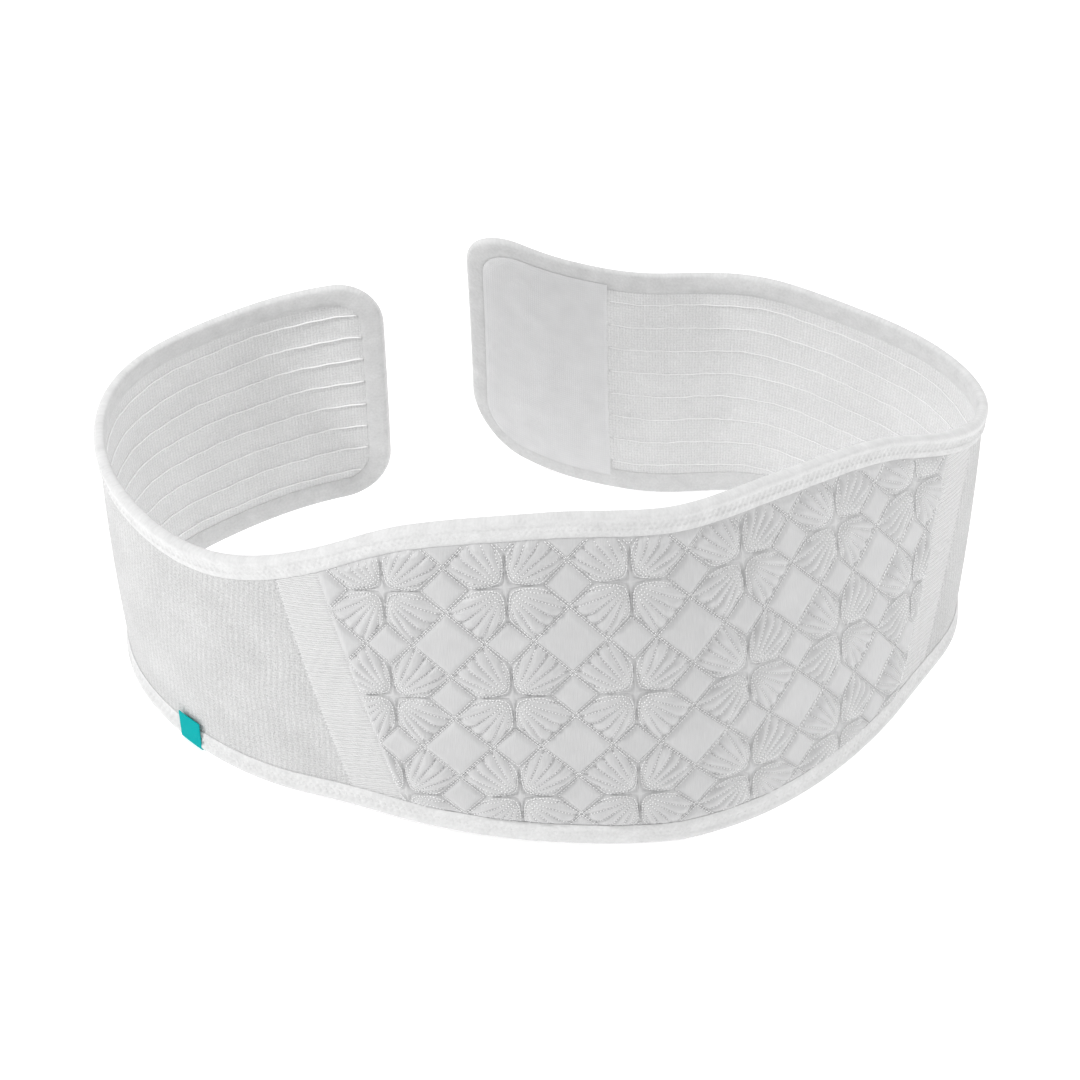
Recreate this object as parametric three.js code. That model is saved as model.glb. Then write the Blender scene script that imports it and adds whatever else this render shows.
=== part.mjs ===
// Maternity support belt with a quilted front, standing open on its lower edge.
// Millimetres, +Z up, the quilted front towards -Y, origin under the middle of the belt.
// Every piece is first laid out flat: u runs along the belt from its front centre, v goes up
// from its middle line and w comes out through the cloth. bend() curves that layout.
import * as THREE from 'three';
import { mergeVertices } from 'three/addons/utils/BufferGeometryUtils.js';

// Driving dimensions of the whole belt
const halfLength = 563;
const crownDepth = 3.8;
const cornerRadius = 28;
const gap = 0.3;

// Cloth of the front panel, the inserts and the wings
const clothThickness = 2;
const clothInset = 2.2;
const insertWidth = 26;

// Quilting of the front panel
const flowerColumns = 6;
const flowerRows = 3;
const flowerWidth = 60;
const flowerHeight = 63;
const quiltCentre = 7.5;
const quiltMiddle = 28;
const quiltTaper = 0.041;
const quiltMargin = 1;
const petalPuff = 3;
const diamondPuff = 2;
const puffRise = 6;

// The front is as high as its rows of flowers, with a little to spare
const frontHeight = flowerRows * flowerHeight + quiltMargin;

// Seams between the panel and the inserts: distance from the front centre on the middle
// line, and how far the seam moves out for each millimetre up
const leftSeam = 153;
const rightSeam = 162.5;
const seamSlope = 0.32;

// Woven lines along the wings
const lineCount = 8;
const lineSpacing = 15.3;
const lineMiddle = 9;
const linePinch = 0.35;

// Binding tape folded over the edge all the way round
const bindingWidth = 12;
const tapeThickness = 1;
const tapeClearance = 0.6;
const foldThickness = 1.2;

// Fastening pads at the two ends
const padLength = 64;
const padThickness = 1.5;
const padClearance = 1;

// Side label folded over the lower edge
const labelPlace = -268;
const labelWidth = 15.5;
const labelHeight = 19;
const labelBack = 9;
const labelThickness = 0.6;

// How the belt stands, from its left end to its right end. at: place as a share of halfLength,
// heading: degrees seen from above, 0 along +X, rise: height of the middle line above the
// floor as a share of frontHeight, lean: degrees that the top leans outwards
const stance = [
  { at: -1, heading: -191, rise: 0.45, lean: 1 },
  { at: -0.9, heading: -168, rise: 0.395, lean: 3 },
  { at: -0.8, heading: -148, rise: 0.345, lean: 3.5 },
  { at: -0.68, heading: -97, rise: 0.32, lean: 2 },
  { at: -0.56, heading: -59, rise: 0.285, lean: -0.5 },
  { at: -0.46, heading: -40, rise: 0.25, lean: -2.5 },
  { at: -0.36, heading: -26, rise: 0.245, lean: -4 },
  { at: -0.25, heading: -19, rise: 0.325, lean: -5 },
  { at: -0.12, heading: -1, rise: 0.385, lean: -7.5 },
  { at: 0, heading: 15, rise: 0.365, lean: -8.5 },
  { at: 0.12, heading: 36, rise: 0.35, lean: -9 },
  { at: 0.25, heading: 50, rise: 0.28, lean: -6 },
  { at: 0.36, heading: 58, rise: 0.225, lean: -1.5 },
  { at: 0.46, heading: 105, rise: 0.255, lean: 4.5 },
  { at: 0.56, heading: 141, rise: 0.285, lean: 6.5 },
  { at: 0.68, heading: 159, rise: 0.33, lean: 5 },
  { at: 0.8, heading: 198, rise: 0.365, lean: 6.5 },
  { at: 0.9, heading: 193, rise: 0.49, lean: 3.5 },
  { at: 1, heading: 164, rise: 0.665, lean: -2.5 },
];

// Outline of the flat belt from its front centre to either end, as shares of frontHeight
const outline = [
  { at: 0, top: 0.665, bottom: -0.37 },
  { at: 0.12, top: 0.67, bottom: -0.35 },
  { at: 0.24, top: 0.665, bottom: -0.29 },
  { at: 0.34, top: 0.585, bottom: -0.23 },
  { at: 0.46, top: 0.47, bottom: -0.25 },
  { at: 0.6, top: 0.435, bottom: -0.3 },
  { at: 0.74, top: 0.435, bottom: -0.33 },
  { at: 0.87, top: 0.435, bottom: -0.33 },
  { at: 1, top: 0.44, bottom: -0.325 },
];

const { clamp, degToRad, lerp } = THREE.MathUtils;

// A smooth curve through one column of a table, read at a place between its rows
function smooth(table, column, at) {
  const last = table.length - 1;
  const value = (row) => table[row][column];
  const slope = (row) => {
    const before = Math.max(row - 1, 0);
    const after = Math.min(row + 1, last);
    return (value(after) - value(before)) / (table[after].at - table[before].at);
  };
  let row = 0;
  while (row < last - 1 && at > table[row + 1].at) row += 1;
  const span = table[row + 1].at - table[row].at;
  const t = clamp((at - table[row].at) / span, 0, 1);
  return (2 * t ** 3 - 3 * t ** 2 + 1) * value(row)
    + (t ** 3 - 2 * t ** 2 + t) * span * slope(row)
    + (3 * t ** 2 - 2 * t ** 3) * value(row + 1)
    + (t ** 3 - t ** 2) * span * slope(row + 1);
}

const headingAt = (u) => degToRad(smooth(stance, 'heading', u / halfLength));

// The middle line of the belt seen from above, walked both ways from the front centre
const walkStep = 2;
function walk(direction) {
  const points = [new THREE.Vector2(0, 0)];
  for (let s = walkStep / 2; s < halfLength + walkStep; s += walkStep) {
    const heading = headingAt(direction * s);
    const stride = new THREE.Vector2(Math.cos(heading), Math.sin(heading));
    points.push(points.at(-1).clone().addScaledVector(stride, direction * walkStep));
  }
  return points;
}
const walks = { left: walk(-1), right: walk(1) };

function middleLine(u) {
  const points = u < 0 ? walks.left : walks.right;
  const steps = Math.abs(u) / walkStep;
  const index = Math.min(Math.floor(steps), points.length - 2);
  return points[index].clone().lerp(points[index + 1], steps - index);
}

// From the flat layout to the standing belt
function bend(u, v, w) {
  const at = u / halfLength;
  const heading = headingAt(u);
  const lean = degToRad(smooth(stance, 'lean', at));
  const rise = smooth(stance, 'rise', at) * frontHeight;
  const crown = crownDepth * (2 * v / frontHeight) ** 2;
  const out = v * Math.sin(lean) - crown + w * Math.cos(lean);
  const { x, y } = middleLine(u);
  return new THREE.Vector3(
    x + Math.sin(heading) * out,
    y - Math.cos(heading) * out,
    rise + v * Math.cos(lean) - w * Math.sin(lean),
  );
}

// Height of the belt's upper (side 1) or lower (side -1) edge in the flat layout,
// drawn in by inset from the finished outline, with round corners at the ends
const cornerStart = halfLength - cornerRadius;
function edgeLine(u, side) {
  const at = Math.min(Math.abs(u), cornerStart) / halfLength;
  return smooth(outline, side > 0 ? 'top' : 'bottom', at) * frontHeight;
}
function edge(u, side, inset = 0) {
  const past = Math.abs(u) - cornerStart;
  if (past <= 0) {
    const slope = (edgeLine(u + 1, side) - edgeLine(u - 1, side)) / 2;
    return edgeLine(u, side) - side * inset * Math.hypot(1, slope);
  }
  const radius = cornerRadius - inset;
  const drop = cornerRadius - Math.sqrt(Math.max(radius ** 2 - past ** 2, 0));
  return edgeLine(u, side) - side * drop;
}

// Seams and piece borders, as places along the belt at a height v
const seam = (side, v, out = 0) => side * ((side < 0 ? leftSeam : rightSeam) + seamSlope * v + out);

// Columns of cells from a border to a belt end, closer together round its corner
const cornerColumns = 5;
function towardsEnd(share, columns, from, inset) {
  const straight = 1 - cornerColumns / columns;
  if (share <= straight) return lerp(from, cornerStart, share / straight);
  const angle = (share - straight) / (1 - straight) * Math.PI / 2;
  return cornerStart + (cornerRadius - inset) * Math.sin(angle);
}

// One of a list of cell borders, squeezed between low and high where there is no room for it
const smallestCell = 1;
function squeeze(borders, index, low, high) {
  const after = borders.length - 1 - index;
  if (index === 0) return low;
  if (after === 0) return high;
  return clamp(borders[index], low + index * smallestCell, high - after * smallestCell);
}

// A slab of cloth: a box of cells laid out flat by place(column, row, face) and then bent.
// face is 0 on the inner side and 1 on the outer side. Each cell is creased along its lower
// diagonal, so that a line of stitches stays in its valley.
function slab(columns, rows, place) {
  const geometry = new THREE.BoxGeometry(1, 1, 1, columns, rows, 1);
  geometry.deleteAttribute('normal');
  geometry.deleteAttribute('uv');
  const position = geometry.attributes.position;
  const heights = [];
  for (let i = 0; i < position.count; i += 1) {
    const column = Math.round((position.getX(i) + 0.5) * columns);
    const row = Math.round((position.getY(i) + 0.5) * rows);
    const { u, v, w } = place(column, row, position.getZ(i) + 0.5);
    const point = bend(u, v, w);
    position.setXYZ(i, point.x, point.y, point.z);
    heights.push(w);
  }
  const index = geometry.index.array;
  for (let i = 0; i < index.length; i += 6) {
    const [a, b, d, , c] = index.slice(i, i + 6);
    if (heights[a] + heights[c] < heights[b] + heights[d]) index.set([a, b, c, a, c, d], i);
  }
  return mergeVertices(geometry);
}

// A tape of one section swept once round the outline. Section points are
// [distance in from the edge, height through the cloth], run round the tape.
function tape(stations, section) {
  const points = [];
  const index = [];
  const path = outlinePath();
  for (let i = 0; i < stations; i += 1) {
    const point = path.getPoint(i / stations);
    const tangent = path.getTangent(i / stations);
    for (const [inset, w] of section) {
      points.push(bend(point.x + tangent.y * inset, point.y - tangent.x * inset, w));
    }
  }
  const sides = section.length;
  for (let i = 0; i < stations; i += 1) {
    const next = (i + 1) % stations;
    for (let k = 0; k < sides; k += 1) {
      const turn = (k + 1) % sides;
      const corners = [i * sides + k, next * sides + k, next * sides + turn, i * sides + turn];
      index.push(corners[0], corners[1], corners[2], corners[0], corners[2], corners[3]);
    }
  }
  return new THREE.BufferGeometry().setFromPoints(points).setIndex(index);
}

// The finished outline of the flat belt, clockwise from its left end's upper corner
function outlinePath() {
  const path = new THREE.Path();
  const pointCount = 90;
  const run = (side) => Array.from({ length: pointCount + 1 }, (_, i) => {
    const u = side * lerp(-cornerStart, cornerStart, i / pointCount);
    return new THREE.Vector2(u, edge(u, side));
  });
  const corner = (end, side, from) => path.absarc(
    end * cornerStart,
    edge(cornerStart, side) - side * cornerRadius,
    cornerRadius, from, from - Math.PI / 2, true,
  );
  const [start, ...top] = run(1);
  path.moveTo(start.x, start.y);
  path.splineThru(top);
  corner(1, 1, Math.PI / 2);
  corner(1, -1, 0);
  path.splineThru(run(-1).slice(1));
  corner(-1, -1, -Math.PI / 2);
  corner(-1, 1, -Math.PI);
  return path;
}

// Puffed height of the quilting at p, q, counted in flowers from the middle of the panel.
// Each flower is a star with four fan petals. Small diamonds lie between neighbours and
// large diamonds between four flowers.
const smallDiamond = 0.2;
const largeDiamond = 0.3;
const petalReach = 0.7;
const puffWidth = 0.12;
function quiltHeight(p, q) {
  const fold = (value) => Math.abs(value - Math.floor(value) - 0.5);
  const x = fold(p + flowerColumns / 2);
  const y = fold(q + flowerRows / 2);
  const small = smallDiamond - Math.abs(Math.max(x, y) - 0.5) - Math.min(x, y);
  const large = largeDiamond - Math.abs(x - 0.5) - Math.abs(y - 0.5);
  const petal = Math.min(petalReach - x - y, largeDiamond - Math.abs(x - y), Math.SQRT2 * Math.min(x, y));
  const puffed = (depth) => Math.sin(clamp(depth / Math.SQRT2 / puffWidth, 0, 1) * Math.PI / 2);
  return Math.max(petalPuff * puffed(petal), diamondPuff * puffed(Math.max(small, large)));
}

// Cell borders across one flower, on its stitch lines, repeated over the panel
const flowerCells = [0, 0.15, 0.3, 0.5, 0.7, 0.85];
function quiltBorders(count) {
  const borders = [];
  for (let flower = 0; flower < count; flower += 1) {
    borders.push(...flowerCells.map((share) => flower + share - count / 2));
  }
  return [...borders, count / 2];
}

const half = clothThickness / 2;
const quiltScale = (v) => flowerWidth * (1 + quiltTaper * (v - quiltMiddle) / flowerHeight);

function panelGeometry() {
  const columns = quiltBorders(flowerColumns);
  const rows = quiltBorders(flowerRows);
  const heights = rows.map((q) => quiltMiddle + q * flowerHeight);
  const columnAt = (column, v) => squeeze(
    columns.map((p) => quiltCentre + p * quiltScale(v)), column, seam(-1, v), seam(1, v),
  );
  // one more row lies under the binding at the top and at the bottom
  const lip = bindingWidth + gap;
  const rowAt = (row, u) => {
    if (row === 0) return edge(u, -1, clothInset);
    if (row === rows.length + 1) return edge(u, 1, clothInset);
    return squeeze(heights, row - 1, edge(u, -1, lip), edge(u, 1, lip));
  };
  return slab(columns.length - 1, rows.length + 1, (column, row, face) => {
    let u = columnAt(column, quiltMiddle);
    let v = 0;
    for (let pass = 0; pass < 6; pass += 1) {
      v = rowAt(row, u);
      u = columnAt(column, v);
    }
    const room = Math.min(edge(u, 1, lip) - v, v - edge(u, -1, lip), u - seam(-1, v), seam(1, v) - u);
    const puff = quiltHeight((u - quiltCentre) / quiltScale(v), (v - quiltMiddle) / flowerHeight);
    const w = face ? half + puff * clamp(room / puffRise, 0, 1) : -half;
    return { u, v, w };
  });
}

function insertGeometry(side) {
  const columns = 3;
  const rows = 14;
  return slab(columns, rows, (column, row, face) => {
    const share = side > 0 ? column / columns : 1 - column / columns;
    const out = lerp(gap, insertWidth - gap, share);
    let v = lerp(edgeLine(seam(side, 0), -1), edgeLine(seam(side, 0), 1), row / rows);
    for (let pass = 0; pass < 4; pass += 1) {
      const u = seam(side, v, out);
      v = lerp(edge(u, -1, clothInset), edge(u, 1, clothInset), row / rows);
    }
    return { u: seam(side, v, out), v, w: face ? half : -half };
  });
}

function wingGeometry(side) {
  const columns = 28;
  const lines = [];
  for (let line = 0; line < 2 * lineCount - 1; line += 1) {
    lines.push(lineMiddle + (line / 2 - (lineCount - 1) / 2) * lineSpacing);
  }
  const borders = [-Infinity, ...lines, Infinity];
  const rows = borders.length - 1;
  return slab(columns, rows, (column, row, face) => {
    const share = side > 0 ? column / columns : 1 - column / columns;
    const uAt = (v) => side * towardsEnd(share, columns, side * seam(side, v, insertWidth + gap), clothInset);
    let u = uAt(0);
    let v = 0;
    for (let pass = 0; pass < 6; pass += 1) {
      v = squeeze(borders, row, edge(u, -1, clothInset), edge(u, 1, clothInset));
      u = uAt(v);
    }
    const onLine = row % 2 === 1;
    const w = half - (onLine ? linePinch : 0);
    return { u, v, w: face ? w : -w };
  });
}

function bindingGeometry() {
  const stations = 180;
  const inner = half + tapeClearance;
  const outer = inner + tapeThickness;
  return tape(stations, [
    [bindingWidth, inner],
    [bindingWidth, outer],
    [foldThickness, outer],
    [0, 0],
    [foldThickness, -outer],
    [bindingWidth, -outer],
    [bindingWidth, -inner],
    [foldThickness, -inner],
    [foldThickness, inner],
  ]);
}

function padGeometry(side, face) {
  const columns = 10;
  const rows = 6;
  const inset = bindingWidth + padClearance;
  const start = half + gap;
  return slab(columns, rows, (column, row, top) => {
    const share = side > 0 ? column / columns : 1 - column / columns;
    const u = side * towardsEnd(share, columns, halfLength - bindingWidth - padLength, inset);
    const v = lerp(edge(u, -1, inset), edge(u, 1, inset), row / rows);
    const outer = face > 0 ? top : 1 - top;
    return { u, v, w: face * (start + outer * padThickness) };
  });
}

// The label runs down the inner side, under the lower edge and up the outer side
function labelGeometry() {
  const clear = half + tapeClearance + tapeThickness + gap;
  const route = [
    { inset: labelBack, w: -clear, out: [0, -1] },
    { inset: foldThickness, w: -clear, out: [0, -1] },
    { inset: -gap, w: 0, out: [-1, 0] },
    { inset: foldThickness, w: clear, out: [0, 1] },
    { inset: labelHeight, w: clear, out: [0, 1] },
  ];
  return slab(2, route.length - 1, (column, row, face) => {
    const u = labelPlace + (column / 2 - 0.5) * labelWidth;
    const { inset, w, out } = route[row];
    const depth = face * labelThickness;
    return { u, v: edge(u, -1, inset + out[0] * depth), w: w + out[1] * depth };
  });
}

const finishes = {
  satin: { color: 0xececee, roughness: 0.42, metalness: 0 },
  elastic: { color: 0xe9e9ea, roughness: 0.75, metalness: 0 },
  knit: { color: 0xe4e4e5, roughness: 0.9, metalness: 0 },
  binding: { color: 0xefeff0, roughness: 0.8, metalness: 0 },
  hook: { color: 0xd9d9da, roughness: 0.85, metalness: 0 },
  loop: { color: 0xe0e0e1, roughness: 0.95, metalness: 0 },
  label: { color: 0x00b3b3, roughness: 0.7, metalness: 0 },
};

const belt = new THREE.Group();
function addPiece(name, geometry, finish) {
  const mesh = new THREE.Mesh(geometry, new THREE.MeshStandardMaterial(finishes[finish]));
  mesh.name = name;
  belt.add(mesh);
}

addPiece('quilted_panel', panelGeometry(), 'satin');
addPiece('insert_left', insertGeometry(-1), 'elastic');
addPiece('insert_right', insertGeometry(1), 'elastic');
addPiece('wing_left', wingGeometry(-1), 'knit');
addPiece('wing_right', wingGeometry(1), 'knit');
addPiece('edge_binding', bindingGeometry(), 'binding');
addPiece('hook_pad', padGeometry(1, -1), 'hook');
addPiece('loop_pad', padGeometry(-1, 1), 'loop');
addPiece('label_tag', labelGeometry(), 'label');

// The origin lies on the floor, under the middle of the belt
const box = new THREE.Box3().setFromObject(belt);
const centre = box.getCenter(new THREE.Vector3());
belt.position.set(-centre.x, -centre.y, -box.min.z);

export default belt;
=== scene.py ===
# Maternity support belt with a quilted front, standing open on its lower edge
# Metres, +Z up, the quilted front towards -Y. Every piece is laid out flat first: u runs along
# the belt from its front centre, v goes up from its middle line, w comes out through the cloth.
import math

import bmesh
import bpy
from mathutils import Matrix, Vector


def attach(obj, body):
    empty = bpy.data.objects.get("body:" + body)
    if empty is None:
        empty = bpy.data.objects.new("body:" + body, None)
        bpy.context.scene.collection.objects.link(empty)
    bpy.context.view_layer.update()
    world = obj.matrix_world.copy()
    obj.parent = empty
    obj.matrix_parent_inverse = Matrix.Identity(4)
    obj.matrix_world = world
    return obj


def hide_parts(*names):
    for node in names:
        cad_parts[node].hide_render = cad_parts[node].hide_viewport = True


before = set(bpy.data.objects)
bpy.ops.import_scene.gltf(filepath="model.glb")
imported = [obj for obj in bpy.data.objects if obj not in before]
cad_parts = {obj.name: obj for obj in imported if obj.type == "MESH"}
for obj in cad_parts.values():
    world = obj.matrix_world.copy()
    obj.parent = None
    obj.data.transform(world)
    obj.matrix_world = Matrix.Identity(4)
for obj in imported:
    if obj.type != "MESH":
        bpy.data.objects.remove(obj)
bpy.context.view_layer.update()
print("frame loaded")

# Shape of the whole belt
belt = {
    "halfLength": 0.563,
    "frontHeight": 0.190,
    "crownDepth": 0.0038,
    "cornerRadius": 0.028,
    "clothThickness": 0.002,
    "clothInset": 0.0022,
    "leftSeam": 0.153,
    "rightSeam": 0.1625,
    "seamSlope": 0.32,
    "insertWidth": 0.026,
    "gap": 0.0003,
    "standsAt": (0.06547, -0.12927, 0.00106),
}

# How the belt stands, from its left end to its right: place along it as a share of halfLength,
# heading in degrees, height of the middle line as a share of frontHeight, outward lean in degrees
stance = [
    (-1, -191, 0.45, 1),
    (-0.9, -168, 0.395, 3),
    (-0.8, -148, 0.345, 3.5),
    (-0.68, -97, 0.32, 2),
    (-0.56, -59, 0.285, -0.5),
    (-0.46, -40, 0.25, -2.5),
    (-0.36, -26, 0.245, -4),
    (-0.25, -19, 0.325, -5),
    (-0.12, -1, 0.385, -7.5),
    (0, 15, 0.365, -8.5),
    (0.12, 36, 0.35, -9),
    (0.25, 50, 0.28, -6),
    (0.36, 58, 0.225, -1.5),
    (0.46, 105, 0.255, 4.5),
    (0.56, 141, 0.285, 6.5),
    (0.68, 159, 0.33, 5),
    (0.8, 198, 0.365, 6.5),
    (0.9, 193, 0.49, 3.5),
    (1, 164, 0.665, -2.5),
]

# Flat outline from the front centre to either end: place, top and bottom in the same shares
outline = [
    (0, 0.665, -0.37),
    (0.12, 0.67, -0.35),
    (0.24, 0.665, -0.29),
    (0.34, 0.585, -0.23),
    (0.46, 0.47, -0.25),
    (0.6, 0.435, -0.3),
    (0.74, 0.435, -0.33),
    (0.87, 0.435, -0.33),
    (1, 0.44, -0.325),
]

halfCloth = belt["clothThickness"] / 2
cornerStart = belt["halfLength"] - belt["cornerRadius"]


def mix(a, b, share):
    return a + (b - a) * share


def limit(value):
    return min(max(value, 0.0), 1.0)


def smooth(table, column, at):
    # a smooth curve through one column of a table, read between its rows
    last = len(table) - 1

    def slope(row):
        before = max(row - 1, 0)
        after = min(row + 1, last)
        rise = table[after][column] - table[before][column]
        return rise / (table[after][0] - table[before][0])

    row = 0
    while row < last - 1 and at > table[row + 1][0]:
        row += 1
    span = table[row + 1][0] - table[row][0]
    t = limit((at - table[row][0]) / span)
    return (
        (2 * t ** 3 - 3 * t ** 2 + 1) * table[row][column]
        + (t ** 3 - 2 * t ** 2 + t) * span * slope(row)
        + (3 * t ** 2 - 2 * t ** 3) * table[row + 1][column]
        + (t ** 3 - t ** 2) * span * slope(row + 1)
    )


laneStep = 0.001


def surveyLane():
    # walks both ways from the front centre and notes place, heading, rise, lean and edges
    count = int(belt["halfLength"] / laneStep) + 12
    ground = {0: (0.0, 0.0)}
    for way in (-1, 1):
        x, y = 0.0, 0.0
        for i in range(count):
            at = way * (i + 0.5) * laneStep / belt["halfLength"]
            heading = math.radians(smooth(stance, 1, at))
            x += way * laneStep * math.cos(heading)
            y += way * laneStep * math.sin(heading)
            ground[way * (i + 1)] = (x, y)
    lane = {}
    for i in ground:
        at = i * laneStep / belt["halfLength"]
        along = min(abs(i * laneStep), cornerStart) / belt["halfLength"]
        lane[i] = (
            ground[i][0],
            ground[i][1],
            math.radians(smooth(stance, 1, at)),
            smooth(stance, 2, at) * belt["frontHeight"],
            math.radians(smooth(stance, 3, at)),
            smooth(outline, 1, along) * belt["frontHeight"],
            smooth(outline, 2, along) * belt["frontHeight"],
        )
    return lane


lane = surveyLane()


def laneAt(u):
    step = u / laneStep
    low = math.floor(step)
    share = step - low
    return [a + (b - a) * share for a, b in zip(lane[low], lane[low + 1])]


def bend(u, v, w):
    # from the flat layout to the standing belt
    x, y, heading, rise, lean = laneAt(u)[:5]
    crown = belt["crownDepth"] * (2 * v / belt["frontHeight"]) ** 2
    out = v * math.sin(lean) - crown + w * math.cos(lean)
    spot = Vector((
        x + math.sin(heading) * out,
        y - math.cos(heading) * out,
        rise + v * math.cos(lean) - w * math.sin(lean),
    ))
    return spot + Vector(belt["standsAt"])


def edge(u, side, inset=0.0):
    # height of the upper (side 1) or lower (side -1) edge, drawn in by inset
    column = 5 if side > 0 else 6
    past = abs(u) - cornerStart
    if past <= 0:
        slope = (laneAt(u + laneStep)[column] - laneAt(u - laneStep)[column]) / (2 * laneStep)
        return laneAt(u)[column] - side * inset * math.hypot(1, slope)
    radius = belt["cornerRadius"] - inset
    drop = belt["cornerRadius"] - math.sqrt(max(radius ** 2 - past ** 2, 0))
    return laneAt(math.copysign(cornerStart, u))[column] - side * drop


def between(u, t, inset):
    # height at share t of the way from the lower to the upper edge, both drawn in by inset
    return mix(edge(u, -1, inset), edge(u, 1, inset), t)


def seam(side, v, out=0.0):
    # place of the panel's slanted seam at height v, moved out along the belt
    start = belt["leftSeam"] if side < 0 else belt["rightSeam"]
    return side * (start + belt["seamSlope"] * v + out)


def dome(depth, width):
    # rises from 0 at an edge to 1 at width in from it
    return math.sin(limit(depth / width) * math.pi / 2)


# Turning a grid into a piece of cloth

mergeDistance = 0.0000005


def mapGrid(bm, verts, columns, rows, place):
    # bends a grid of cells: place(column, row) gives u, v and w, and u and v become its UV map
    bm.verts.index_update()
    flat = {}
    for vert in verts:
        column = round((vert.co.x + 0.5) * columns)
        row = round((vert.co.y + 0.5) * rows)
        u, v, w = place(column, row)
        flat[vert.index] = (u, v)
        vert.co = bend(u, v, w)
    uvLayer = bm.loops.layers.uv.get("flat") or bm.loops.layers.uv.new("flat")
    for face in bm.faces:
        for loop in face.loops:
            if loop.vert.index in flat:
                loop[uvLayer].uv = flat[loop.vert.index]


def newGrid(columns, rows):
    bm = bmesh.new()
    bmesh.ops.create_grid(bm, x_segments=columns, y_segments=rows, size=0.5)
    return bm


def clothGrid(columns, rows, backRows, place):
    # one grid wrapped round a piece of cloth: up its outer side and down its inner side.
    # place(s, t, face) has s and t from 0 to 1, and face 1 on the outer side, 0 on the inner
    around = rows + backRows + 2
    bm = newGrid(columns, around)

    def placeCell(column, row):
        s = column / columns
        if row <= rows:
            return place(s, row / rows, 1)
        if row < around:
            return place(s, 1 - (row - rows - 1) / backRows, 0)
        return place(s, 0, 1)

    mapGrid(bm, bm.verts, columns, around, placeCell)
    for face in bm.faces:
        middle = sum(vert.index for vert in face.verts) / 4
        face.material_index = 1 if middle / (columns + 1) > rows + 1 else 0
    bmesh.ops.remove_doubles(bm, verts=bm.verts, dist=mergeDistance)
    bmesh.ops.holes_fill(bm, edges=bm.edges, sides=0)
    return bm


def addTube(bm, stations, sides, radius, line):
    # a thin thread laid along line(share), which gives u, v and w of its middle
    made = bmesh.ops.create_grid(bm, x_segments=stations, y_segments=sides, size=0.5)

    def placeCell(column, row):
        u, v, w = line(column / stations)
        angle = row % sides / sides * 2 * math.pi
        return u, v + radius * math.cos(angle), w + radius * math.sin(angle)

    mapGrid(bm, made["verts"], stations, sides, placeCell)


def sewStitches(spots, size):
    # one small rounded stitch for each spot, which gives u, v and w of its middle and its direction
    mesh = bpy.data.meshes.new("stitches")
    single = bmesh.new()
    bmesh.ops.create_uvsphere(single, u_segments=4, v_segments=2, radius=0.5)
    corners = len(single.verts)
    single.to_mesh(mesh)
    single.free()
    card = bmesh.new()
    for i in range(50):  # copied fifty at a time, which is quicker
        card.from_mesh(mesh)
    card.to_mesh(mesh)
    card.free()
    bm = bmesh.new()
    while len(bm.verts) < corners * len(spots):
        bm.from_mesh(mesh)
    bpy.data.meshes.remove(mesh)
    verts = list(bm.verts)
    bmesh.ops.delete(bm, geom=verts[corners * len(spots):], context="VERTS")
    for index, (u, v, w, direction) in enumerate(spots):
        along = Vector(direction[:2]).normalized() * size[0]
        aside = Vector((-along.y, along.x)).normalized() * size[1]
        for vert in verts[corners * index:corners * (index + 1)]:
            x, y, z = vert.co
            vert.co = bend(u + along.x * x + aside.x * y, v + along.y * x + aside.y * y, w + size[2] * z)
    return bm


def finishMesh(bm, name, materials, sharp=50):
    bmesh.ops.recalc_face_normals(bm, faces=bm.faces)
    mesh = bpy.data.meshes.new(name)
    bm.to_mesh(mesh)
    bm.free()
    for material in materials:
        mesh.materials.append(material)
    if len(materials) == 1:  # the inner side of a wrapped grid uses the second slot
        mesh.materials.append(materials[0])
    mesh.shade_smooth()
    mesh.set_sharp_from_angle(angle=math.radians(sharp))
    piece = bpy.data.objects.new(name, mesh)
    bpy.context.scene.collection.objects.link(piece)
    return piece


def joinBelt(piece, slotName, *nodes):
    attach(piece, "root")
    if nodes:
        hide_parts(*nodes)


# Materials: a small set of helpers, then one function for each finish

def addNode(tree, kind, inputs=None, **settings):
    node = tree.nodes.new(kind)
    for name, value in settings.items():
        setattr(node, name, value)
    for name, value in (inputs or {}).items():
        if isinstance(value, bpy.types.NodeSocket):
            tree.links.new(value, node.inputs[name])
        else:
            node.inputs[name].default_value = value
    return node


def newFinish(name, roughness, sheen=0.0, specular=0.3):
    material = bpy.data.materials.new(name)
    material.use_nodes = True
    tree = material.node_tree
    shader = tree.nodes["Principled BSDF"]
    shader.inputs["Roughness"].default_value = roughness
    shader.inputs["Sheen Weight"].default_value = sheen
    shader.inputs["Sheen Roughness"].default_value = 0.5
    shader.inputs["Specular IOR Level"].default_value = specular
    coordinates = addNode(tree, "ShaderNodeTexCoord")
    return material, tree, shader, coordinates.outputs["UV"]


def noise(tree, vector, along, up, detail):
    # how many grains there are in a metre along and up
    mapping = addNode(tree, "ShaderNodeMapping", {"Vector": vector, "Scale": (along, up, 1.0)})
    grain = {"Vector": mapping.outputs["Vector"], "Scale": 1.0, "Detail": detail}
    return addNode(tree, "ShaderNodeTexNoise", grain).outputs["Fac"]


def ribs(tree, uv, direction, pitch, wander, wanderScale=60.0):
    # parallel ribs one pitch apart; a wave's own period is 0.314 at scale 1
    wave = addNode(tree, "ShaderNodeTexWave", {
        "Vector": uv,
        "Scale": 0.31416 / pitch,
        "Distortion": wander,
        "Detail": 1.0,
        "Detail Scale": wanderScale * pitch,
    }, bands_direction=direction)
    return wave.outputs["Fac"]


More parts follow.
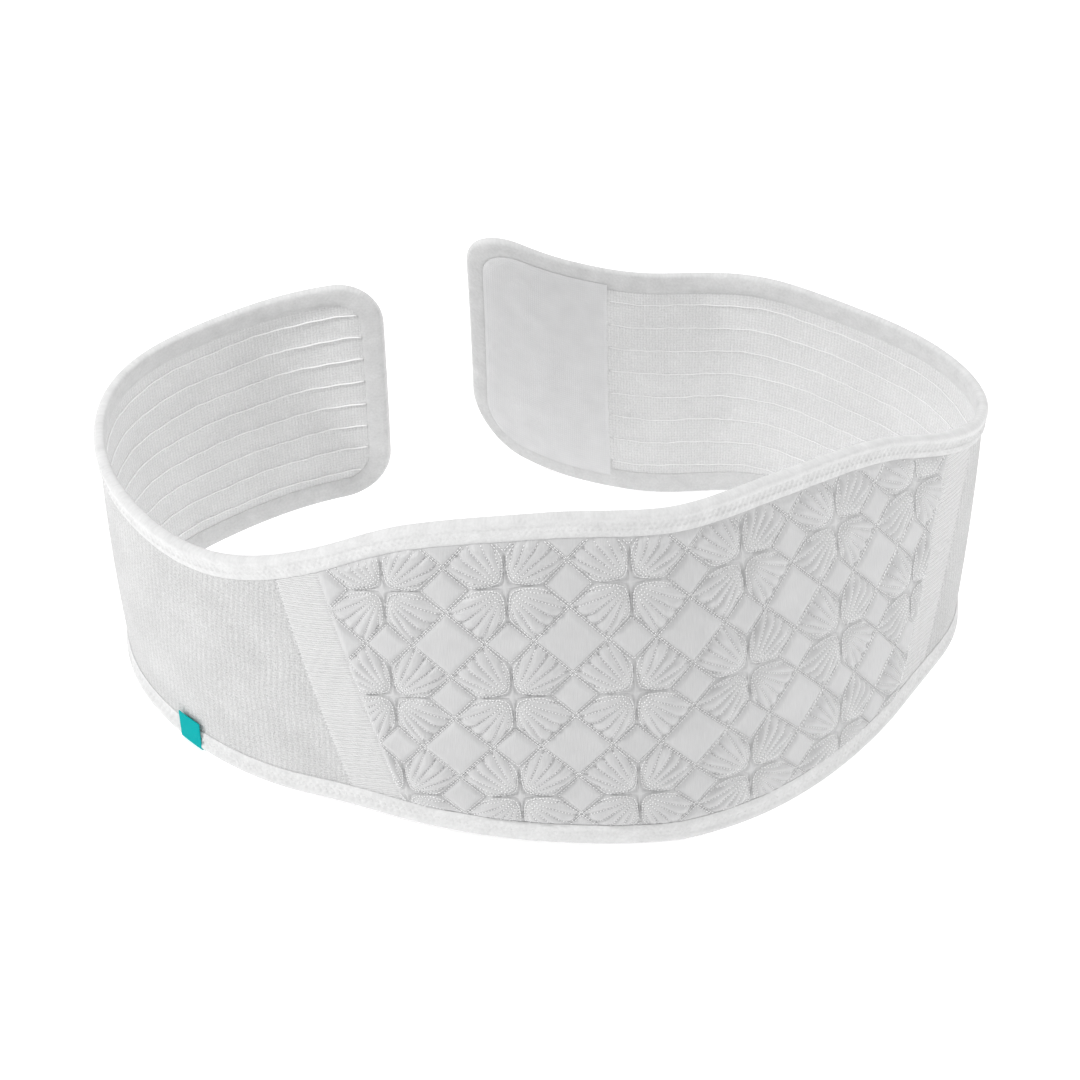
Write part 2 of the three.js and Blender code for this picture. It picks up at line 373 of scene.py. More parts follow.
def blendMath(tree, operation, a, b=0.0):
    node = addNode(tree, "ShaderNodeMath", operation=operation)
    for index, value in enumerate((a, b)):
        if isinstance(value, bpy.types.NodeSocket):
            tree.links.new(value, node.inputs[index])
        else:
            node.inputs[index].default_value = value
    return node.outputs[0]


def addShares(tree, a, shareA, b, shareB):
    first = blendMath(tree, "MULTIPLY", a, shareA)
    second = blendMath(tree, "MULTIPLY", b, shareB)
    return blendMath(tree, "ADD", first, second)


def shadeBetween(tree, shader, fac, low, high, start=0.0, stop=1.0):
    ramp = addNode(tree, "ShaderNodeValToRGB", {"Fac": fac})
    ramp.color_ramp.elements[0].color = (*low, 1)
    ramp.color_ramp.elements[1].color = (*high, 1)
    ramp.color_ramp.elements[0].position = start
    ramp.color_ramp.elements[1].position = stop
    tree.links.new(ramp.outputs["Color"], shader.inputs["Base Color"])


def addBump(tree, shader, height, distance, strength):
    bump = addNode(tree, "ShaderNodeBump", {
        "Height": height,
        "Distance": distance,
        "Strength": strength,
    })
    tree.links.new(bump.outputs["Normal"], shader.inputs["Normal"])


def makeSatin():
    # fine threads running up the panel, with a soft gloss
    material, tree, shader, uv = newFinish("satin", 0.38, sheen=0.2, specular=0.5)
    threads = noise(tree, uv, 2600, 130, 3)
    clouds = noise(tree, uv, 55, 55, 3)
    tone = addShares(tree, threads, 0.6, clouds, 0.4)
    shadeBetween(tree, shader, tone, (0.39, 0.39, 0.395), (0.65, 0.65, 0.65))
    addBump(tree, shader, threads, 0.00025, 0.7)
    return material


def makeElastic():
    # fine ribs across the strip
    material, tree, shader, uv = newFinish("ribbed elastic", 0.75, sheen=0.2)
    fine = ribs(tree, uv, "Y", 0.0013, 0.6)
    fuzz = noise(tree, uv, 900, 1500, 3)
    height = addShares(tree, fine, 0.7, fuzz, 0.45)
    shadeBetween(tree, shader, height, (0.53, 0.53, 0.53), (0.75, 0.75, 0.75))
    addBump(tree, shader, height, 0.0005, 0.9)
    return material


def makeKnit(name, wales, wander, waleShare, depth, low, high):
    # broken upright wales of a rib knit with faint courses across them
    material, tree, shader, uv = newFinish(name, 0.9, sheen=0.3, specular=0.2)
    upright = ribs(tree, uv, "X", wales, wander, 90.0)
    courses = ribs(tree, uv, "Y", 0.0017, 1.5, 120.0)
    nubs = noise(tree, uv, 1300, 850, 4)
    broken = noise(tree, uv, 420, 190, 3)
    clouds = noise(tree, uv, 40, 40, 3)
    raised = blendMath(tree, "MULTIPLY", upright, blendMath(tree, "POWER", broken, 2.0))
    height = addShares(tree, raised, waleShare, nubs, 1.2 - 0.6 * waleShare)
    height = addShares(tree, height, 1.0, courses, 0.08)
    tone = addShares(tree, height, 0.7, clouds, 0.2)
    shadeBetween(tree, shader, tone, low, high, 0.25, 0.7)
    addBump(tree, shader, height, depth, 0.9)
    return material


def makeTape():
    # soft felted tape
    material, tree, shader, uv = newFinish("binding tape", 0.85, sheen=0.3, specular=0.2)
    felt = noise(tree, uv, 700, 700, 5)
    patches = noise(tree, uv, 120, 120, 3)
    tone = addShares(tree, felt, 0.5, patches, 0.5)
    shadeBetween(tree, shader, tone, (0.55, 0.55, 0.55), (0.77, 0.77, 0.77), 0.2, 0.8)
    addBump(tree, shader, tone, 0.0006, 0.8)
    return material


def makeThread(name, low, high):
    # fine strands, on the belt's own coordinates because stitches have no UV map
    material, tree, shader, uv = newFinish(name, 0.5, sheen=0.2, specular=0.4)
    strands = noise(tree, uv.node.outputs["Object"], 2400, 2400, 2)
    shadeBetween(tree, shader, strands, low, high)
    return material


def makeHooks():
    # a dense field of tiny hooks
    material, tree, shader, uv = newFinish("hook tape", 0.7, sheen=0.1)
    rows = ribs(tree, uv, "X", 0.0011, 0.4)
    cross = ribs(tree, uv, "Y", 0.0014, 0.4)
    field = blendMath(tree, "MULTIPLY", rows, cross)
    clouds = noise(tree, uv, 90, 90, 3)
    tone = addShares(tree, field, 0.25, clouds, 0.75)
    shadeBetween(tree, shader, tone, (0.67, 0.67, 0.675), (0.77, 0.77, 0.775), 0.2, 0.8)
    addBump(tree, shader, field, 0.0002, 0.4)
    return material


def makeLoops():
    # brushed loops lying every way
    material, tree, shader, uv = newFinish("loop tape", 0.95, sheen=0.5, specular=0.15)
    nap = noise(tree, uv, 1300, 900, 6)
    shadeBetween(tree, shader, nap, (0.66, 0.66, 0.67), (0.86, 0.86, 0.86))
    addBump(tree, shader, nap, 0.0007, 0.9)
    return material


def makeLabel():
    # woven ribbon, plain
    material, tree, shader, uv = newFinish("label ribbon", 0.8, specular=0.08)
    warp = ribs(tree, uv, "X", 0.0006, 0.2)
    weft = ribs(tree, uv, "Y", 0.0005, 0.2)
    weave = blendMath(tree, "MULTIPLY", warp, weft)
    shadeBetween(tree, shader, weave, (0.0, 0.34, 0.345), (0.0, 0.46, 0.465))
    addBump(tree, shader, weave, 0.00015, 0.6)
    return material


satin = makeSatin()
elastic = makeElastic()
knitOutside = makeKnit("knit outside", 0.0032, 6.0, 0.38, 0.0009, (0.37, 0.37, 0.37), (0.71, 0.71, 0.71))
knitInside = makeKnit("knit inside", 0.0018, 1.2, 0.55, 0.0005, (0.61, 0.61, 0.61), (0.86, 0.86, 0.86))
tape = makeTape()
threadWhite = makeThread("sewing thread", (0.88, 0.88, 0.88), (0.97, 0.97, 0.97))
threadSoft = makeThread("binding thread", (0.66, 0.66, 0.66), (0.80, 0.80, 0.80))
hooks = makeHooks()
loops = makeLoops()
ribbon = makeLabel()
print("materials ready")


# Quilted front panel

quilt = {
    "columns": 6,
    "rows": 3,
    "flowerWidth": 0.060,
    "flowerHeight": 0.063,
    "centre": 0.0075,
    "middle": 0.028,
    "taper": 0.041,
    "smallDiamond": 0.2,
    "largeDiamond": 0.3,
    "petalReach": 0.7,
    "starArm": 0.034,
    "starPuff": 0.0011,
    "starRound": 0.03,
    "starReach": 0.32,
    "starFade": 0.12,
    "petalPuff": 0.0032,
    "petalRound": 0.11,
    "shoulderRound": 0.05,
    "shoulderCut": 0.006,
    "diamondPuff": 0.0016,
    "diamondRound": 0.06,
    "ribs": 7,
    "ribDrop": 0.0043,
    "ribSharpness": 0.75,
    "puffRise": 0.004,
    "lip": 0.0123,
    "farEnd": 0.25,
    "cells": (600, 320, 14),
    "petalArm": [(0.05, 0.05), (0.075, 0.036), (0.12, 0.025), (0.2, 0.017), (0.26, 0.021), (0.31, 0.042)],
    "outlinePitch": 0.0018,
    "outlineSize": (0.0018, 0.0006, 0.0008),
    "outlineInset": 0.0112,
    "ribPitch": 0.0017,
    "ribSize": (0.0011, 0.0009, 0.0010),
    "ribLines": (0.1, 0.2, 0.02),
    "stitchLift": 0.0004,
    "stitchRoom": 0.0012,
}


def quiltScale(v):
    # the flowers grow a little wider towards the top
    rows = (v - quilt["middle"]) / quilt["flowerHeight"]
    return quilt["flowerWidth"] * (1 + quilt["taper"] * rows)


def petalDepth(x, y):
    # distance inside the petal, in flowers, at x and y from the star's centre
    outer = (quilt["petalReach"] - x - y) / math.sqrt(2)
    shoulder = (quilt["largeDiamond"] - abs(x - y)) / math.sqrt(2)
    arm = math.sqrt(x * y) - quilt["starArm"]
    rounding = max(1 - abs(shoulder - arm) / quilt["shoulderRound"], 0)
    return min(outer, min(shoulder, arm) - rounding ** 2 * quilt["shoulderCut"])


def diamondDepth(x, y):
    # the same inside the small or the large diamond
    small = quilt["smallDiamond"] - abs(max(x, y) - 0.5) - min(x, y)
    large = quilt["largeDiamond"] - abs(x - 0.5) - abs(y - 0.5)
    return max(small, large) / math.sqrt(2)


def quiltHeight(p, q):
    # p and q count flowers from the middle of the panel
    foldP = p + quilt["columns"] / 2
    foldQ = q + quilt["rows"] / 2
    x = abs(foldP - math.floor(foldP) - 0.5)
    y = abs(foldQ - math.floor(foldQ) - 0.5)
    petal = petalDepth(x, y)
    reach = math.hypot(x, y)
    if petal > 0:
        turn = math.atan2(y, x) / (math.pi / 2) * quilt["ribs"]
        groove = 1 - abs(math.sin(math.pi * turn)) ** quilt["ribSharpness"]
        drop = quilt["ribDrop"] * reach * groove * limit(petal / quilt["starRound"])
        return quilt["petalPuff"] * dome(petal, quilt["petalRound"]) - drop
    star = quilt["starPuff"] * dome(-petal, quilt["starRound"])
    star *= dome(quilt["starReach"] - reach, quilt["starFade"])
    return star + quilt["diamondPuff"] * dome(diamondDepth(x, y), quilt["diamondRound"])


def panelPoint(s, t):
    u, v = 0.0, 0.0
    for attempt in range(5):  # the seams slant, so u and v settle together
        u = mix(seam(-1, v), seam(1, v), s)
        v = between(u, t, belt["clothInset"])
    return u, v


def panelRelief(u, v):
    # height of the wadding, which sinks to nothing at the seams and at the binding
    room = min(
        edge(u, 1, quilt["lip"]) - v,
        v - edge(u, -1, quilt["lip"]),
        u - seam(-1, v),
        seam(1, v) - u,
    )
    p = (u - quilt["centre"]) / quiltScale(v)
    q = (v - quilt["middle"]) / quilt["flowerHeight"]
    return quiltHeight(p, q) * dome(room, quilt["puffRise"])


def makePanel():
    def placeCell(s, t, face):
        u, v = panelPoint(s, t)
        if face:
            return u, v, halfCloth + panelRelief(u, v)
        return u, v, -halfCloth

    bm = clothGrid(*quilt["cells"], placeCell)
    piece = finishMesh(bm, "quiltedFront", [satin])
    joinBelt(piece, "satin", "quilted_panel")


def sewLine(points, pitch):
    # stitch places along a run of points, all in flowers: x, y and the direction in metres
    width, height = quilt["flowerWidth"], quilt["flowerHeight"]
    spots = []
    for a, b in zip(points, points[1:]):
        along = Vector(((b[0] - a[0]) * width, (b[1] - a[1]) * height))
        count = max(round(along.length / pitch), 1)
        for i in range(count):
            share = (i + 0.5) / count
            spots.append((mix(a[0], b[0], share), mix(a[1], b[1], share), along.normalized()))
    return spots


def outlineSpots():
    # the seams round the four petals and three diamonds of one flower
    inset = quilt["outlineInset"]
    small, large = quilt["smallDiamond"], quilt["largeDiamond"]
    half = quilt["petalArm"] + [(0.5 - inset, small)]
    mirrored = [(y, x) for x, y in reversed(half)]
    quarter = sewLine(half + mirrored, quilt["outlinePitch"])
    spots = []
    for sx in (-1, 1):
        for sy in (-1, 1):
            spots += [(sx * x, sy * y, Vector((sx * along.x, sy * along.y))) for x, y, along in quarter]
    for x, y, reach in [(0.5, 0.0, small), (0.0, 0.5, small), (0.5, 0.5, large)]:
        reach -= inset
        corners = [(x + reach, y), (x, y + reach), (x - reach, y), (x, y - reach), (x + reach, y)]
        spots += sewLine(corners, quilt["outlinePitch"])
    return spots


def ribSpots():
    # the dotted lines that fan out between a petal's ribs
    spots = []
    first, reached, margin = quilt["ribLines"]
    for rib in range(1, quilt["ribs"]):
        angle = rib / quilt["ribs"] * math.pi / 2
        x, y = math.cos(angle), math.sin(angle)
        last = reached
        while petalDepth(last * x, last * y) > margin:
            last += 0.005
        for sx in (-1, 1):
            for sy in (-1, 1):
                line = [(first * x * sx, first * y * sy), (last * x * sx, last * y * sy)]
                spots += sewLine(line, quilt["ribPitch"])
    return spots


def overPanel(flowerSpots):
    # repeats one flower's stitches over the panel and keeps those that lie on it
    spots = []
    lift = quilt["stitchLift"]
    for column in range(-1, quilt["columns"] + 1):
        for row in range(-1, quilt["rows"] + 1):
            p0 = column + 0.5 - quilt["columns"] / 2
            q0 = row + 0.5 - quilt["rows"] / 2
            for x, y, along in flowerSpots:
                v = quilt["middle"] + (q0 + y) * quilt["flowerHeight"]
                u = quilt["centre"] + (p0 + x) * quiltScale(v)
                if abs(u) > quilt["farEnd"]:
                    continue
                room = min(edge(u, 1) - v, v - edge(u, -1)) - quilt["lip"]
                room = min(room, u - seam(-1, v), seam(1, v) - u)
                if room > quilt["stitchRoom"]:
                    spots.append((u, v, halfCloth + panelRelief(u, v) + lift, along))
    return spots


def makeQuiltStitches():
    for name, flowerSpots, size in (
        ("quiltOutlineStitches", outlineSpots(), quilt["outlineSize"]),
        ("quiltRibStitches", ribSpots(), quilt["ribSize"]),
    ):
        spots = overPanel(flowerSpots)
        piece = finishMesh(sewStitches(spots, size), name, [threadWhite], sharp=180)
        joinBelt(piece, "satin")
        print(name, len(spots))


makePanel()
makeQuiltStitches()
print("quilted panel built")


# Elastic inserts between the panel and the wings

insert = {
    "cells": (34, 190, 60),
    "rib": 0.0025,
    "ribHeight": 0.00018,
    "tuck": 0.0004,  # how far it goes under its neighbours
    "pinch": 0.0003,
    "pinchWidth": 0.002,
}


def makeInsert(side, name, node):
    def placeCell(s, t, face):
        share = s if side > 0 else 1 - s
        out = mix(-insert["tuck"], belt["insertWidth"] + insert["tuck"], share)
        v = 0.03
        for attempt in range(4):
            v = between(seam(side, v, out), t, belt["clothInset"])
        room = min(out, belt["insertWidth"] - out) - belt["gap"]
        pinch = insert["pinch"] * (1 - dome(room, insert["pinchWidth"]))
        rib = insert["ribHeight"] * math.sin(v / insert["rib"] * 2 * math.pi)
        w = halfCloth + rib - pinch if face else pinch - halfCloth
        return seam(side, v, out), v, w

    piece = finishMesh(clothGrid(*insert["cells"], placeCell), name, [elastic])
    joinBelt(piece, "elastic", node)


makeInsert(-1, "elasticInsertLeft", "insert_left")
makeInsert(1, "elasticInsertRight", "insert_right")
print("inserts built")


# Knitted wings with woven lines along their inner side

wing = {
    "lines": 8,
    "lineSpacing": 0.0153,
    "lineMiddle": 0.009,
    "lineWidth": 0.0022,
    "lineHeight": 0.00045,
    "cells": (190, 80, 150),
    "cornerShare": 0.08,
    "seamSink": 0.0003,
    "threadCells": (160, 6),
    "threadLift": 0.7,
    "threadEnd": 0.0125,  # from the belt's edge, just clear of the binding
    "padEnd": 0.0775,
}


def lineHeightAt(line):
    return wing["lineMiddle"] + (line - (wing["lines"] - 1) / 2) * wing["lineSpacing"]


def wingPoint(side, s, t):
    share = s if side > 0 else 1 - s
    straight = 1 - wing["cornerShare"]
    u, v = side * 0.3, 0.0
    for attempt in range(5):
        start = side * seam(side, v, belt["insertWidth"] - belt["gap"])
        if share <= straight:
            u = side * mix(start, cornerStart, share / straight)
        else:
            angle = (share - straight) / wing["cornerShare"] * math.pi / 2
            u = side * (cornerStart + (belt["cornerRadius"] - belt["clothInset"]) * math.sin(angle))
        v = between(u, t, belt["clothInset"])
    return u, v


def lineRidge(v):
    # 1 on a woven line, 0 away from it
    nearest = min(abs(v - lineHeightAt(line)) for line in range(wing["lines"]))
    return dome(1 - nearest / wing["lineWidth"], 1.0)


def makeWing(side, name, node):
    def placeCell(s, t, face):
        u, v = wingPoint(side, s, t)
        if (s if side > 0 else 1 - s) < 0.001:  # the seam's edge sinks to the insert
            return u, v, (halfCloth - wing["seamSink"]) * (1 if face else -1)
        if face:
            return u, v, halfCloth
        return u, v, -halfCloth - wing["lineHeight"] * lineRidge(v)

    piece = finishMesh(clothGrid(*wing["cells"], placeCell), name, [knitOutside, knitInside])
    joinBelt(piece, "knit", node)


def makeWovenLines(side, name, end, radius):
    # one raised white thread along each woven line, on the inner side
    bm = bmesh.new()
    inset = wing["threadEnd"]
    rest = -halfCloth - wing["lineHeight"] - radius * wing["threadLift"]

    def outside(u, v):
        return min(edge(side * u, 1, inset) - v, v - edge(side * u, -1, inset)) < 0

    for line in range(wing["lines"]):
        v = lineHeightAt(line)
        first = side * seam(side, v, belt["insertWidth"] + laneStep)
        while outside(first, v):
            first += laneStep
        last = belt["halfLength"] - end
        while outside(last, v):
            last -= laneStep

        def follow(share):
            u = mix(first, last, share)
            sway = 0.00035 * math.sin(u * 130 + line) + 0.0002 * math.sin(u * 410 + 2 * line)
            return side * u, v + sway, rest

        addTube(bm, *wing["threadCells"], radius, follow)
    bmesh.ops.remove_doubles(bm, verts=bm.verts, dist=mergeDistance)
    bmesh.ops.holes_fill(bm, edges=bm.edges, sides=0)
    piece = finishMesh(bm, name, [threadWhite], sharp=180)
    joinBelt(piece, "knit")


makeWovenLines(-1, "wovenLinesLeft", wing["threadEnd"], 0.00042)
makeWovenLines(1, "wovenLinesRight", wing["padEnd"], 0.0003)
makeWing(-1, "knitWingLeft", "wing_left")
makeWing(1, "knitWingRight", "wing_right")
print("wings built")


# Binding tape folded over the edge all the way round

binding = {
    "width": 0.012,
    "clearance": 0.0006,
    "lipGap": -0.0002,
    "tapeThickness": 0.001,
    "roll": 0.0007,
    "rollWidth": 0.0055,
    "stations": 2700,
    "dimplePitch": 0.0037,
    "dimpleRows": (0.0052, 0.0077, 0.0102),
    "dimpleRadius": 0.0014,
    "dimpleDepth": 0.0011,
    "nose": 0.0016,
    "lipTaper": 0.0009,
    "taperStart": 0.0092,
    "taperRun": 0.0028,
    "innerSwell": 0.0003,
    "zigzag": (0.0062, 0.0096),
    "zigzagStitch": (0.0017, 0.0003, 0.0002),
}


def runOutline():
    # points of the flat outline, clockwise from the left end's upper corner, about 1 mm apart
    points = []
    count = round(2 * cornerStart / laneStep)
    radius = belt["cornerRadius"]

    def run(side, way):
        for i in range(count):
            u = way * mix(-cornerStart, cornerStart, i / count)
            points.append(Vector((u, edge(u, side))))

    def corner(end, side, start):
        centre = Vector((end * cornerStart, edge(cornerStart * end, side) - side * radius))
        steps = 44
        for i in range(steps):
            angle = start - i / steps * math.pi / 2
            points.append(centre + radius * Vector((math.cos(angle), math.sin(angle))))

    run(1, 1)
    corner(1, 1, math.pi / 2)
    across(points, 1)
    corner(1, -1, 0)
    run(-1, -1)
    corner(-1, -1, -math.pi / 2)
    across(points, -1)
    corner(-1, 1, -math.pi)
    return points


def across(points, end):
    # the straight end between its two corners
    radius = belt["cornerRadius"]
    u = end * belt["halfLength"]
    top = edge(end * cornerStart, 1) - radius
    bottom = edge(end * cornerStart, -1) + radius
    count = round((top - bottom) / laneStep)
    for i in range(count):
        share = i / count if end > 0 else 1 - i / count
        points.append(Vector((u, mix(top, bottom, share))))


def evenOutline(count):
    # the outline again at even distances: point, direction and distance run
    points = runOutline()
    closed = points + points[:1]
    lengths = [(b - a).length for a, b in zip(closed, closed[1:])]
    total = sum(lengths)
    stations = []
    index, run = 0, 0.0
    for i in range(count):
        target = total * i / count
        while run + lengths[index] < target:
            run += lengths[index]
            index += 1
        share = (target - run) / max(lengths[index], 0.0000001)
        stations.append(closed[index].lerp(closed[index + 1], share))
    result = []
    for i, point in enumerate(stations):
        ahead = stations[(i + 2) % count]
        behind = stations[i - 2]
        result.append((point, (ahead - behind).normalized(), total * i / count))
    return result, total


def tapeSection():
    # (distance in from the edge, height through the cloth), from the front lip round to it again
    inner = halfCloth + binding["clearance"]
    outer = inner + binding["tapeThickness"]
    width = binding["width"]
    nose = binding["nose"]
    front = [(mix(width, nose, i / 14), outer, True) for i in range(15)]
    bow = []
    for i in range(1, 6):
        angle = math.pi / 2 - i / 6 * math.pi
        bow.append((nose - nose * math.cos(angle), outer * math.sin(angle), False))
    back = [(mix(nose, width, i / 5), -outer, False) for i in range(6)]
    lip = halfCloth + binding["lipGap"]
    lining = [
        (width + 0.0004, -halfCloth - 0.0005, False),
        (width + 0.0003, -lip, False),
        (width - 0.001, -inner, False),
        (0.0014, -inner, False),
        (0.0014, inner, False),
        (width - 0.001, inner, False),
        (width + 0.0003, lip, False),
        (width + 0.0004, halfCloth + 0.0005, False),
    ]
    return front + bow + back + lining


def dimple(run, inset):
    # small dents in staggered rows where the zigzag seam pulls the tape down
    deepest = 0.0
    for index, row in enumerate(binding["dimpleRows"]):
        shift = 0.5 * (index % 2)
        du = ((run / binding["dimplePitch"] + shift) % 1 - 0.5) * binding["dimplePitch"]
        distance = math.hypot(du, inset - row) / binding["dimpleRadius"]
        if distance < 1:
            deepest = max(deepest, math.cos(distance * math.pi / 2))
    pull = 0.65 + 0.35 * math.sin(9 * run + 1)  # the seam pulls harder here and there
    return deepest * pull * binding["dimpleDepth"]


def makeBinding():
    count = binding["stations"]
    stations, total = evenOutline(count)
    section = tapeSection()
    sides = len(section)
    bm = newGrid(count, sides)

    def placeCell(column, row):
        point, direction, run = stations[column % count]
        inset, w, front = section[row % sides]
        toLip = limit((inset - binding["taperStart"]) / binding["taperRun"])
        taper = binding["lipTaper"] * toLip ** 2
        if front:
            swell = math.sin(limit(inset / binding["rollWidth"]) * math.pi)
            w += binding["roll"] * swell - dimple(run, inset) * (1 - taper / 0.0012) - taper
        elif w < -0.0025:  # the tape's face on the belt's inner side
            w += taper - binding["innerSwell"] * math.sin(limit(inset / binding["width"]) * math.pi)
        u = point.x + direction.y * inset
        v = point.y - direction.x * inset
        return u, v, w

    mapGrid(bm, bm.verts, count, sides, placeCell)
    bmesh.ops.remove_doubles(bm, verts=bm.verts, dist=mergeDistance)
    piece = finishMesh(bm, "bindingTape", [tape], sharp=70)
    joinBelt(piece, "binding", "edge_binding")
    print("binding:", len(piece.data.polygons), "outline", round(total, 3))


def makeZigzag():
    # the zigzag seam that holds the tape down, on its outer side
    count = 2 * round(evenOutline(8)[1] / binding["dimplePitch"])
    stations = evenOutline(count)[0]
    low, high = binding["zigzag"]
    height = halfCloth + binding["clearance"] + binding["tapeThickness"] - 0.0001
    spots = []
    for i in range(count):
        point, direction, run = stations[i]
        ahead = stations[(i + 1) % count][0]
        inward = Vector((direction.y, -direction.x))
        first = point + inward * (low if i % 2 else high)
        second = ahead + inward * (high if i % 2 else low)
        for share in (0.25, 0.75):
            spot = first.lerp(second, share)
            spots.append((spot.x, spot.y, height, second - first))
    bm = sewStitches(spots, binding["zigzagStitch"])
    piece = finishMesh(bm, "bindingZigzag", [threadSoft], sharp=180)
    joinBelt(piece, "binding")


makeBinding()
makeZigzag()
print("binding built")


# Fastening pads

pad = {
    "length": 0.064,
    "endGap": 0.012,
    "thickness": 0.0015,
    "inset": 0.0088,
    "tapeLift": 0.0007,
    "tapeHeight": 0.0017,
    "cells": (90, 130, 40),
    "straight": 0.7,
    "rimDrop": 0.0009,
    "rimDropOnTape": 0.0004,
    "rimWidth": 0.0025,
    "seamInset": 0.0025,
    "seamDip": 0.0001,
    "seamPitch": 0.0023,
    "seamStitch": (0.0016, 0.0004, 0.0004),
}

padStart = belt["halfLength"] - pad["endGap"] - pad["length"]


def padBorder(u, v):
    # distance in from the pad's border along the belt's edge
    past = abs(u) - cornerStart
    if past <= 0:
        return min(edge(u, 1, pad["inset"]) - v, v - edge(u, -1, pad["inset"]))
    corner = math.copysign(cornerStart, u)
    rise = max(v - edge(corner, 1), edge(corner, -1) - v) + belt["cornerRadius"]
    return belt["cornerRadius"] - pad["inset"] - math.hypot(past, max(rise, 0))


def padOnTape(u, v):
    # 1 where the pad lies over the binding's inner fold, 0 where it lies on the cloth
    return limit((0.013 - padBorder(u, v)) / 0.0085)


def padPoint(side, s, t):
    share = s if side > 0 else 1 - s
    straight = pad["straight"]
    if share <= straight:
        u = side * mix(padStart, cornerStart, share / straight)
    else:
        angle = (share - straight) / (1 - straight) * math.pi / 2
        u = side * (cornerStart + (belt["cornerRadius"] - pad["inset"]) * math.sin(angle))
    return u, between(u, t, pad["inset"])


def makePad(side, face, name, slotName, node, material):
    def placeCell(s, t, outer):
        u, v = padPoint(side, s, t)
        room = min(abs(u) - padStart, padBorder(u, v))
        onTape = padOnTape(u, v)
        base = halfCloth + belt["gap"]
        if not outer:
            return u, v, face * (base + pad["tapeHeight"] * onTape)
        seamDip = pad["seamDip"] * max(1 - abs(room - pad["seamInset"]) / 0.001, 0)
        rim = mix(pad["rimDrop"], pad["rimDropOnTape"], onTape) * (1 - dome(room, pad["rimWidth"]))
        return u, v, face * (base + pad["thickness"] + pad["tapeLift"] * onTape - seamDip - rim)

    piece = finishMesh(clothGrid(*pad["cells"], placeCell), name, [material])
    joinBelt(piece, slotName, node)


def makePadSeam(side, face, name, slotName):
    # the stitched line just inside a pad's border
    inset = pad["inset"] + pad["seamInset"]
    height = halfCloth + belt["gap"] + pad["thickness"] - 0.0003
    reach = belt["cornerRadius"] - inset
    places = [padStart + pad["seamInset"]]
    places += [cornerStart + reach * math.sin(i / 8 * math.pi / 2) for i in range(9)]
    path = [(u, edge(side * u, 1, inset)) for u in places]
    path += [(u, edge(side * u, -1, inset)) for u in reversed(places)]
    path.append(path[0])
    spots = []
    for a, b in zip(path, path[1:]):
        a, b = Vector((side * a[0], a[1])), Vector((side * b[0], b[1]))
        count = max(round((b - a).length / pad["seamPitch"]), 1)
        for i in range(count):
            spot = a.lerp(b, (i + 0.5) / count)
            lift = pad["tapeLift"] * padOnTape(spot.x, spot.y)
            spots.append((spot.x, spot.y, face * (height + lift), b - a))
    piece = finishMesh(sewStitches(spots, pad["seamStitch"]), name, [threadSoft], sharp=180)
    joinBelt(piece, slotName)


makePadSeam(1, -1, "hookTapeSeam", "hook")
makePadSeam(-1, 1, "loopTapeSeam", "loop")
makePad(1, -1, "hookTape", "hook", "hook_pad", hooks)
makePad(-1, 1, "loopTape", "loop", "loop_pad", loops)
print("pads built")


# Side label folded over the lower edge

label = {"place": -0.268, "width": 0.0155, "height": 0.019, "back": 0.009, "thickness": 0.0006}


def makeLabelPiece():
    clear = halfCloth + binding["clearance"] + binding["tapeThickness"] + belt["gap"]
    bm = newGrid(16, 44)
    route = [(mix(label["back"], 0.0012, i / 14), -clear, (0, -1)) for i in range(15)]
    for i in range(1, 10):
        angle = -math.pi / 2 + i / 10 * math.pi
        route.append((0.0012 - 0.0015 * math.cos(angle), clear * math.sin(angle),
                      (-math.cos(angle), math.sin(angle))))
    route += [(mix(0.0012, label["height"], i / 20), clear, (0, 1)) for i in range(21)]

    def placeCell(column, row):
        u = label["place"] + (column / 16 - 0.5) * label["width"]
        inset, w, out = route[row]
        depth = label["thickness"]
        return u, edge(u, -1, inset + out[0] * depth), w + out[1] * depth

    mapGrid(bm, bm.verts, 16, 44, placeCell)
    bmesh.ops.recalc_face_normals(bm, faces=bm.faces)
    bmesh.ops.solidify(bm, geom=bm.faces[:], thickness=label["thickness"])
    piece = finishMesh(bm, "sideLabel", [ribbon])
    joinBelt(piece, "label", "label_tag")


makeLabelPiece()
print("label built")


# Floor, light and camera

studio = {
    "floorSize": 8.0,
    "floorColour": (0.96, 0.96, 0.96, 1),
    "floorGlow": 0.34,
    "worldStrength": 0.65,
    "lensMm": 86.67,
    "cameraPlace": (-0.00231, -1.02027, 0.99526),
    "cameraPitch": 41.83,
    "cameraRoll": -0.604,
    "lights": [
        ("keyLight", (-1.9, -0.5, 1.6), 0.3, 30.0),
        ("fillLight", (1.8, -0.7, 1.6), 0.8, 17.0),
        ("backLight", (0.3, 1.8, 1.9), 1.6, 8.0),
    ],
}


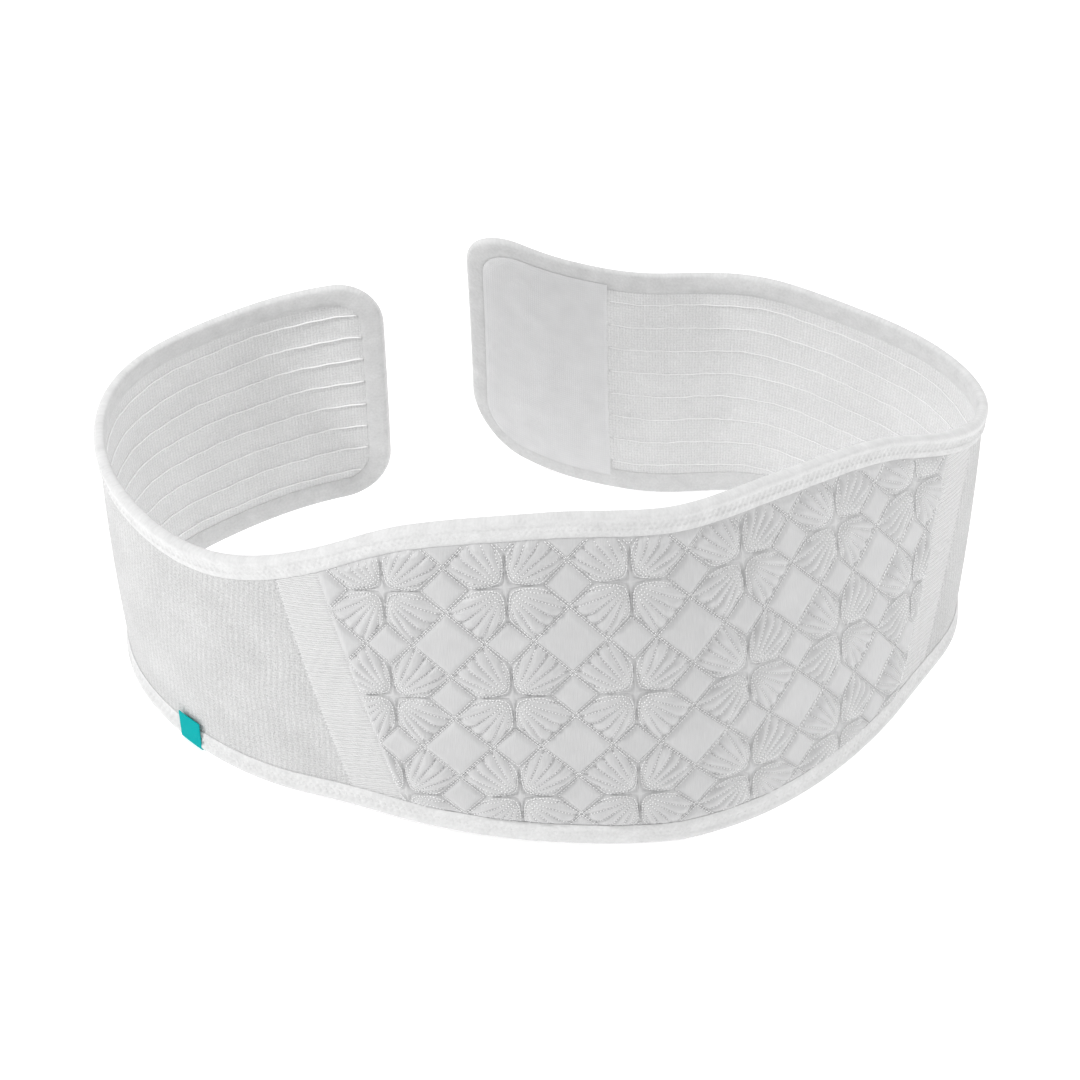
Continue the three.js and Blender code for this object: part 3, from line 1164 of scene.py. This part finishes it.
def makeStudio():
    bm = bmesh.new()
    bmesh.ops.create_grid(bm, x_segments=1, y_segments=1, size=studio["floorSize"] / 2)
    mesh = bpy.data.meshes.new("floor")
    bm.to_mesh(mesh)
    bm.free()
    floor = bpy.data.objects.new("floor", mesh)
    bpy.context.scene.collection.objects.link(floor)
    material = bpy.data.materials.new("pale floor")
    material.use_nodes = True
    shader = material.node_tree.nodes["Principled BSDF"]
    shader.inputs["Base Color"].default_value = studio["floorColour"]
    shader.inputs["Roughness"].default_value = 0.9
    shader.inputs["Specular IOR Level"].default_value = 0.1
    shader.inputs["Emission Color"].default_value = (1, 1, 1, 1)
    shader.inputs["Emission Strength"].default_value = studio["floorGlow"]
    mesh.materials.append(material)

    world = bpy.data.worlds.new("studio")
    world.use_nodes = True
    background = world.node_tree.nodes["Background"]
    background.inputs["Color"].default_value = (1, 1, 1, 1)
    background.inputs["Strength"].default_value = studio["worldStrength"]
    bpy.context.scene.world = world

    for name, spot, size, power in studio["lights"]:
        data = bpy.data.lights.new(name, "AREA")
        data.size = size
        data.energy = power
        lamp = bpy.data.objects.new(name, data)
        lamp.location = spot
        lamp.rotation_euler = (Vector((0, 0, 0.1)) - Vector(spot)).to_track_quat("-Z", "Y").to_euler()
        bpy.context.scene.collection.objects.link(lamp)

    pitch = math.radians(studio["cameraPitch"])
    roll = math.radians(studio["cameraRoll"])
    right = Vector((1, 0, 0))
    up = Vector((0, math.sin(pitch), math.cos(pitch)))
    back = Vector((0, -math.cos(pitch), math.sin(pitch)))
    aside = right * math.cos(roll) + up * math.sin(roll)
    above = up * math.cos(roll) - right * math.sin(roll)
    turn = Matrix((aside, above, back)).transposed().to_4x4()
    data = bpy.data.cameras.new("camera")
    data.lens = studio["lensMm"]
    data.sensor_width = 36
    data.clip_end = 20
    camera = bpy.data.objects.new("camera", data)
    camera.matrix_world = Matrix.Translation(studio["cameraPlace"]) @ turn
    bpy.context.scene.collection.objects.link(camera)
    bpy.context.scene.camera = camera
    bpy.context.scene.view_settings.view_transform = "Standard"


makeStudio()
print("studio ready")
